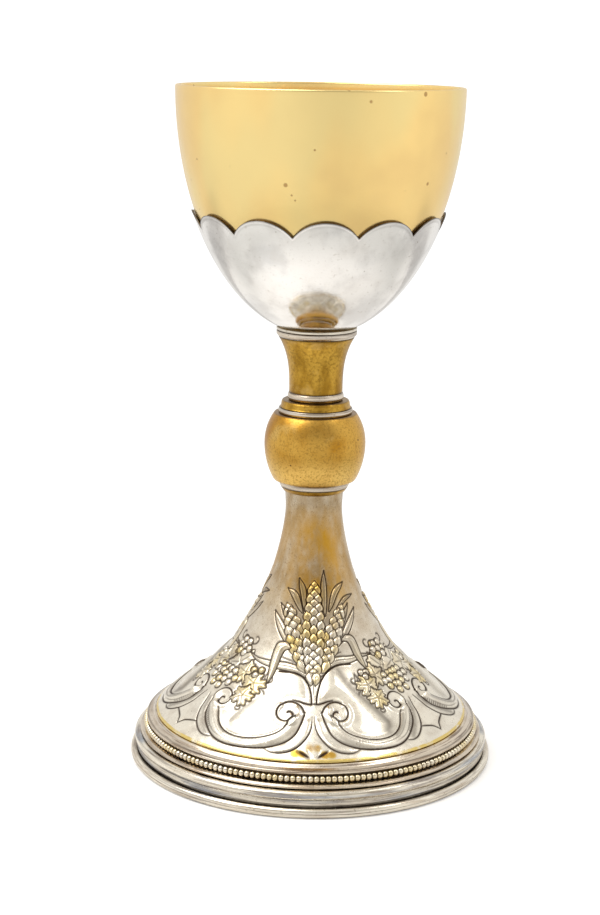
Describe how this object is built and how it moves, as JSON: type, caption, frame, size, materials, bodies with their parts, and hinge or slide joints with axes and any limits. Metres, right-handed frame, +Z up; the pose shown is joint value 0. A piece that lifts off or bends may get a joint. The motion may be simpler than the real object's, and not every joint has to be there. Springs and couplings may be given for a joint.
{
  "type": "communion chalice",
  "caption": "Footed metal cup on a stem with a round knop, a scalloped calyx under the bowl and a chased, beaded trumpet foot.",
  "frame": {"origin": "centre of the flat face the foot stands on", "axes": "+Z up along the chalice's axis; the foot's front panel, with an upright wheat sheaf, faces -Y"},
  "size_m": [0.1306, 0.1306, 0.2388],
  "materials": {
    "gilt_bright": "bright gilding on silver, polished, with small dark specks",
    "gilt_aged": "aged gilding, satin, with darker streaks",
    "silver": "polished silver with light tarnish and dark toned engraving",
    "silver_tarnished": "silver with warm brown tarnish",
    "brass": "plain turned brass"
  },
  "bodies": {
    "stand": {"stem_top_ring": "silver", "stem": "gilt_aged", "stem_bottom_ring": "silver", "knop_top_collar": "gilt_aged", "knop_top_fillet": "silver", "knop": "gilt_aged", "knop_bottom_ring": "silver", "knop_base_collar": "gilt_aged", "foot": "silver", "foot_neck_plate": "brass", "foot_moulding": "silver_tarnished", "bead_wire": "silver", "foot_band": "silver", "base_ring": "silver", "tie_rod": "brass"},
    "seat": {"seat_ring": "silver_tarnished"},
    "bowl": {"cup": "gilt_bright", "calyx": "silver", "cup_boss": "brass"},
    "washer": {"nut_washer": "brass"},
    "nut": {"clamp_nut": "brass"}
  },
  "joints": [
    {"name": "cup_rise", "type": "slide", "parent": "stand", "child": "seat", "axis": [0, 0, 1], "range_m": [0, 0.0088]},
    {"name": "cup_turn", "type": "hinge", "parent": "seat", "child": "bowl", "pos_m": [0, 0, 0.156], "axis": [0, 0, 1], "range_deg": [0, 2520]},
    {"name": "washer_drop", "type": "slide", "parent": "stand", "child": "washer", "axis": [0, 0, -1], "range_m": [0, 0.0088]},
    {"name": "nut_turn", "type": "hinge", "parent": "washer", "child": "nut", "pos_m": [0, 0, 0.0865], "axis": [0, 0, -1], "range_deg": [0, 2520]}
  ],
  "couplings": [
    {"joint": "cup_rise", "follows": "cup_turn", "m_per_rad": 0.00019894},
    {"joint": "washer_drop", "follows": "nut_turn", "m_per_rad": 0.00019894}
  ]
}
